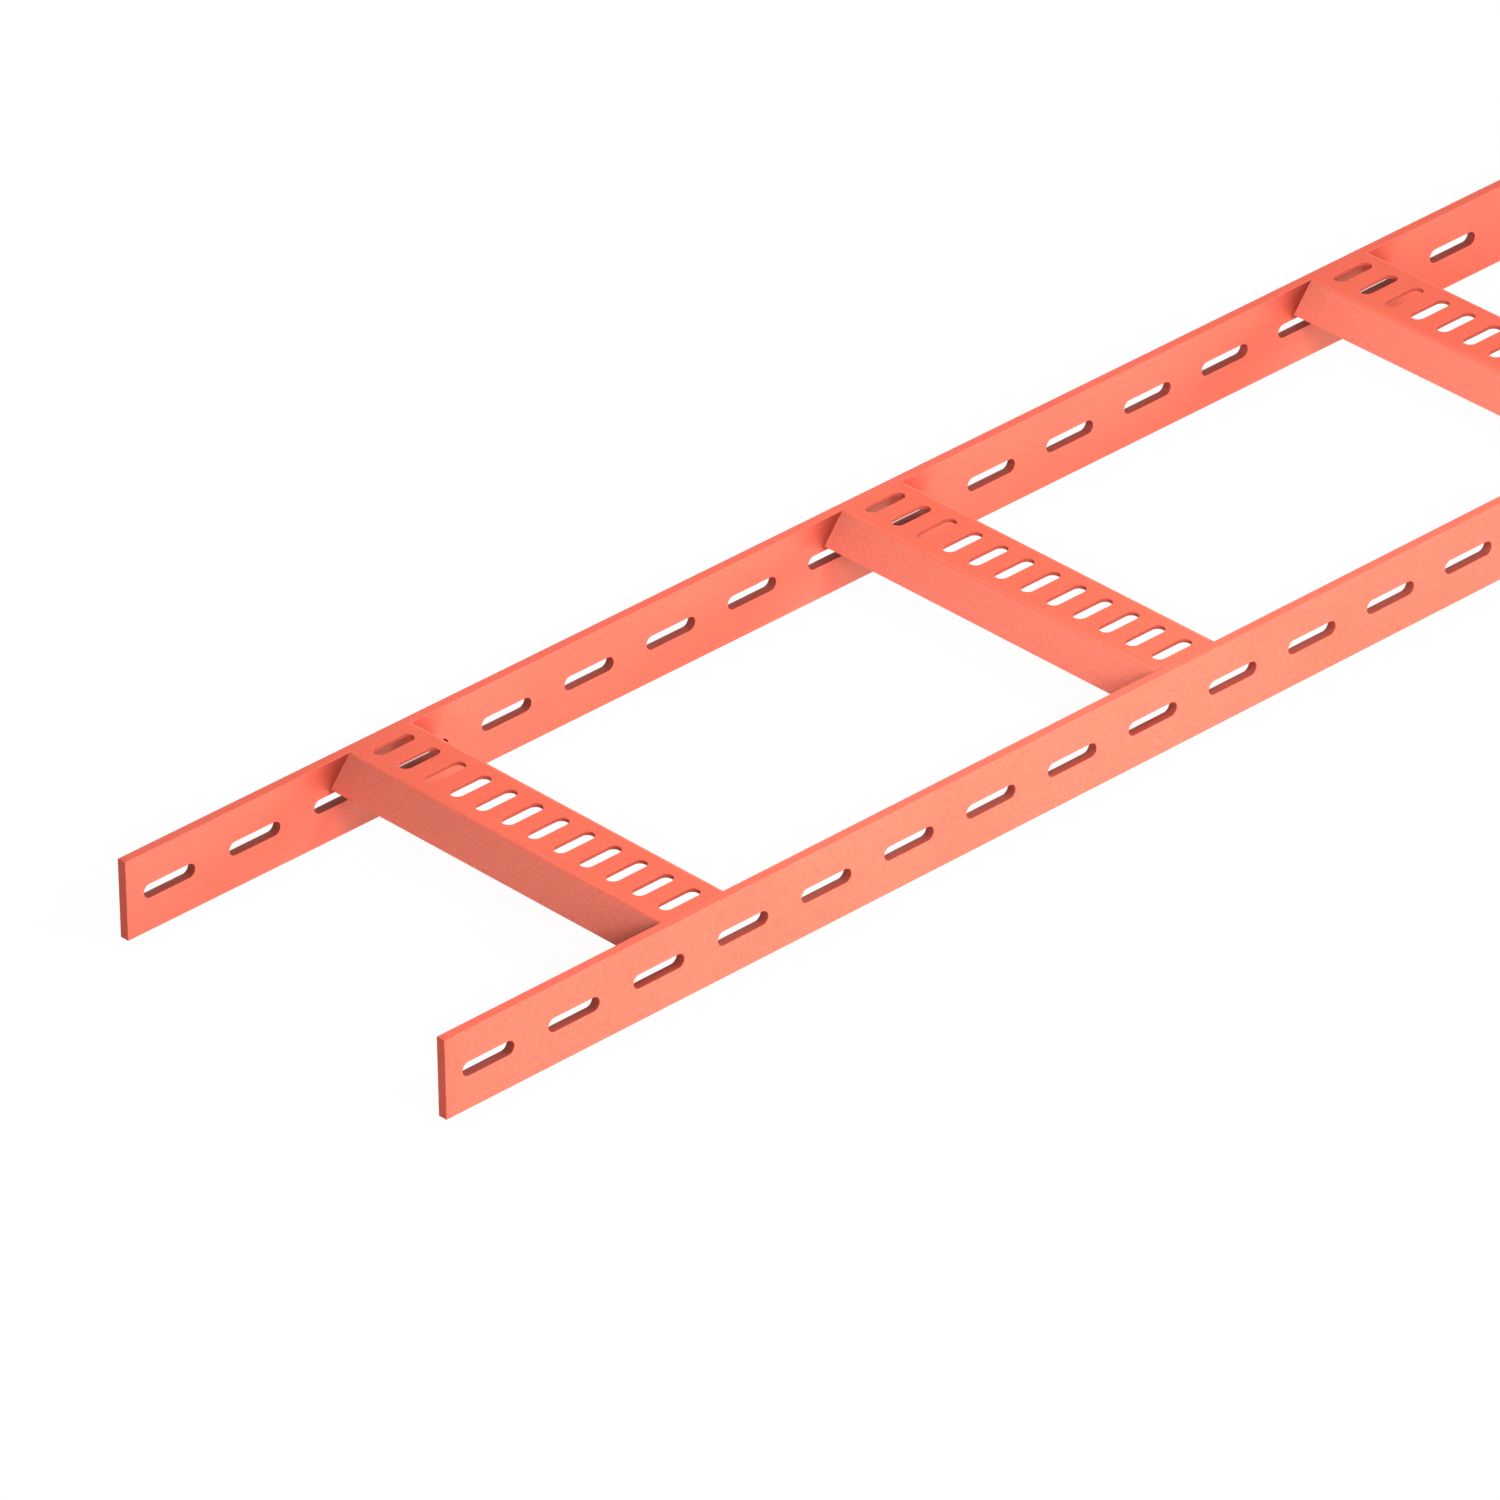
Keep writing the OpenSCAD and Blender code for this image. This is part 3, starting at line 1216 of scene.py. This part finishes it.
@dataclass(frozen=True)
class Studio:
    """A pale floor, soft lamps and a long-lens camera that looks down along the ladder from its start.

    Attributes:
        aim: What the camera looks at.
        azimuth: Its heading in degrees, from +Y towards +X.
        elevation: How far it looks down, in degrees.
        roll: How far it is turned clockwise, in degrees.
        distance: How far it stands from what it looks at.
        lens: Its focal length in millimetres.
        glow: Strength of the surroundings at the horizon.
        glow_fall: How fast they dim with height.
        floor_half: Half the floor's side.
        floor_drop: How far the floor lies below the ladder's lower edges.
        floor_bounce: Share of light that the floor throws back onto the ladder.
        floor_seen: The same where the camera sees it.
        floor_light: Light that the floor gives off where the camera doesn't see it.
        white: Strength of the plain white that the floor turns into.
        veil: How much of that white already lies over the floor at the ladder.
        veil_start: Distance from the ladder's axis line where it starts to grow.
        veil_end: Distance where all is white.
        half_length: Half the length of that line.
    """

    aim: Triple = (-1.21976, 0.00155, 0.02012)
    azimuth: float = 43.016
    elevation: float = 31.022
    roll: float = 0.969
    distance: float = 6.8529
    lens: float = 372.66
    glow: float = 0.44
    glow_fall: float = 3.0
    floor_half: float = 250.0
    floor_drop: float = 0.2 * MM
    floor_bounce: float = 0.75
    floor_seen: float = 0.9
    floor_light: float = 0.18
    white: float = 1.03
    veil: float = 0.93
    veil_start: float = 0.3
    veil_end: float = 1.0
    half_length: float = 1.5

    def camera(self) -> None:
        """Makes the camera and looks through it."""
        a, e = math.radians(self.azimuth), math.radians(self.elevation)
        forward = Vector((math.sin(a) * math.cos(e), math.cos(a) * math.cos(e), -math.sin(e)))
        level = forward.to_track_quat("-Z", "Y").to_matrix()
        turn = Matrix.Rotation(math.radians(self.roll), 3, forward)
        data = bpy.data.cameras.new("camera")
        data.lens = self.lens
        data.sensor_width = 36
        data.clip_start, data.clip_end = 0.5, 400
        camera = bpy.data.objects.new("camera", data)
        place = Vector(self.aim) - forward * self.distance
        camera.matrix_world = Matrix.Translation(place) @ (turn @ level).to_4x4()
        bpy.context.scene.collection.objects.link(camera)
        bpy.context.scene.camera = camera

    def world(self) -> None:
        """Makes the surroundings: plain white where they are seen or mirrored, and a low glow elsewhere.

        The glow's strength is glow * (1 - |z|) ^ fall, with z the height of the direction that it comes from.
        """
        world = bpy.data.worlds.new("studio")
        world.use_nodes = True
        nodes = Nodes(world.node_tree)
        calc = nodes.calc
        path = nodes.add("LightPath").outputs
        seen = calc("MAXIMUM", path["Is Camera Ray"], path["Is Transmission Ray"])
        seen = calc("MAXIMUM", path["Is Glossy Ray"], seen)
        parts = nodes.add("SeparateXYZ", {0: nodes.add("TexCoord").outputs["Generated"]}).outputs
        level = calc("SUBTRACT", 1.0, calc("ABSOLUTE", parts["Z"]))
        band = calc("MULTIPLY", calc("POWER", level, self.glow_fall), self.glow)
        background = nodes.tree.nodes["Background"].inputs
        background["Color"].default_value = (1, 1, 1, 1)
        nodes.tree.links.new(nodes.span(seen, low=band), background["Strength"])
        bpy.context.scene.world = world

    def floor(self) -> None:
        """Makes the floor, which is see-through from below so that the ladder's underside can be looked at.

        Where the camera sees it, it turns into plain white with the distance from the ladder's axis line,
        which is the larger of |y| and |x| - half the length.
        """
        half, low = self.floor_half, -self.floor_drop
        mesh = bpy.data.meshes.new("floor")
        square = [(-half, -half, low), (half, -half, low), (half, half, low), (-half, half, low)]
        mesh.from_pydata(square, [], [(0, 1, 2, 3)])
        floor = bpy.data.objects.new("floor", mesh)
        bpy.context.scene.collection.objects.link(floor)

        material = bpy.data.materials.new("studio_floor")
        material.use_nodes = True
        nodes = Nodes(material.node_tree)
        nodes.tree.nodes.clear()
        calc = nodes.calc
        viewed = nodes.add("LightPath").outputs["Is Camera Ray"]
        bounce = nodes.span(viewed, low=self.floor_bounce, high=self.floor_seen)
        plain = nodes.add("BsdfDiffuse", {"Color": bounce}).outputs[0]
        dimmed = nodes.span(viewed, low=self.floor_light, high=0.0)
        light = nodes.add("Emission", {"Strength": dimmed}).outputs[0]
        matt = nodes.add("AddShader", {0: plain, 1: light}).outputs[0]
        white = nodes.add("Emission", {"Color": (1, 1, 1, 1), "Strength": self.white}).outputs[0]
        parts = nodes.add("SeparateXYZ", {0: nodes.add("TexCoord").outputs["Object"]}).outputs
        beyond = calc("SUBTRACT", calc("ABSOLUTE", parts["X"]), self.half_length)
        away = calc("MAXIMUM", calc("ABSOLUTE", parts["Y"]), beyond)
        haze = nodes.span(away, start=self.veil_start, end=self.veil_end, low=self.veil)
        haze.node.interpolation_type = "SMOOTHSTEP"
        front = nodes.add("MixShader", {0: calc("MULTIPLY", viewed, haze), 1: matt, 2: white}).outputs[0]
        back = nodes.add("NewGeometry").outputs["Backfacing"]
        clear = nodes.add("BsdfTransparent").outputs[0]
        shown = nodes.add("MixShader", {0: back, 1: front, 2: clear}).outputs[0]
        nodes.add("OutputMaterial", {"Surface": shown})
        mesh.materials.append(material)
        floor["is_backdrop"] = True

    def lamps(self) -> None:
        """Makes the lamps: two far ones, four over the right side, a fill past each end, a rear, a top."""
        for lamp in (
            Softbox("start_side", (-5.334, -4.134, 1.37), (-1.2, 0, 0.02), (4.0, 2.0), 135.0),
            Softbox("finish_side", (4.867, -3.226, 1.356), (-1.2, 0, 0.02), (5.0, 2.0), 330.0),
            Softbox("key", (-1.5, -0.9, 0.5), (-1.3, 0, 0.02), (0.3, 0.3), 5.8),
            Softbox("high_key", (-1.05, -0.45, 0.55), (-1.05, 0, 0.02), (0.3, 0.2), 3.9),
            Softbox("far_key", (0.6, -0.85, 0.5), (0.6, 0, 0.02), (0.5, 0.3), 4.7),
            Softbox("last_key", (1.4, -0.85, 0.5), (1.3, 0, 0.02), (0.5, 0.3), 6.4),
            Softbox("start_fill", (-3.4, -0.3, 0.6), (-1.2, 0, 0.02), (1.6, 1.0), 3.7),
            Softbox("finish_fill", (3.4, -0.3, 0.6), (1.2, 0, 0.02), (1.6, 1.0), 18.0),
            Softbox("rear", (0, 2.4, 0.6), (0, 0, 0.02), (3.0, 0.4), 28.0),
            Softbox("overhead", (0, -0.3, 2.0), (0, 0, 0.02), (2.5, 0.6), 9.0),
        ):
            lamp.build()

    def build(self) -> None:
        """Makes everything that isn't the ladder."""
        self.camera()
        self.world()
        self.floor()
        self.lamps()
        bpy.context.scene.view_settings.view_transform = "Standard"


def corners(bounds: tuple[Vector, Vector]) -> list[list[float]]:
    """A box's two corners as plain lists."""
    return [list(corner) for corner in bounds]


def main() -> None:
    """Loads the frame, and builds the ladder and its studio."""
    logging.basicConfig(level=logging.INFO, format="%(name)s: %(message)s")
    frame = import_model()
    solid = corners(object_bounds())
    Ladder(frame).build()
    Studio().build()
    {"cad": solid, "visual": corners(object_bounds())}


if __name__ == "__main__":
    main()
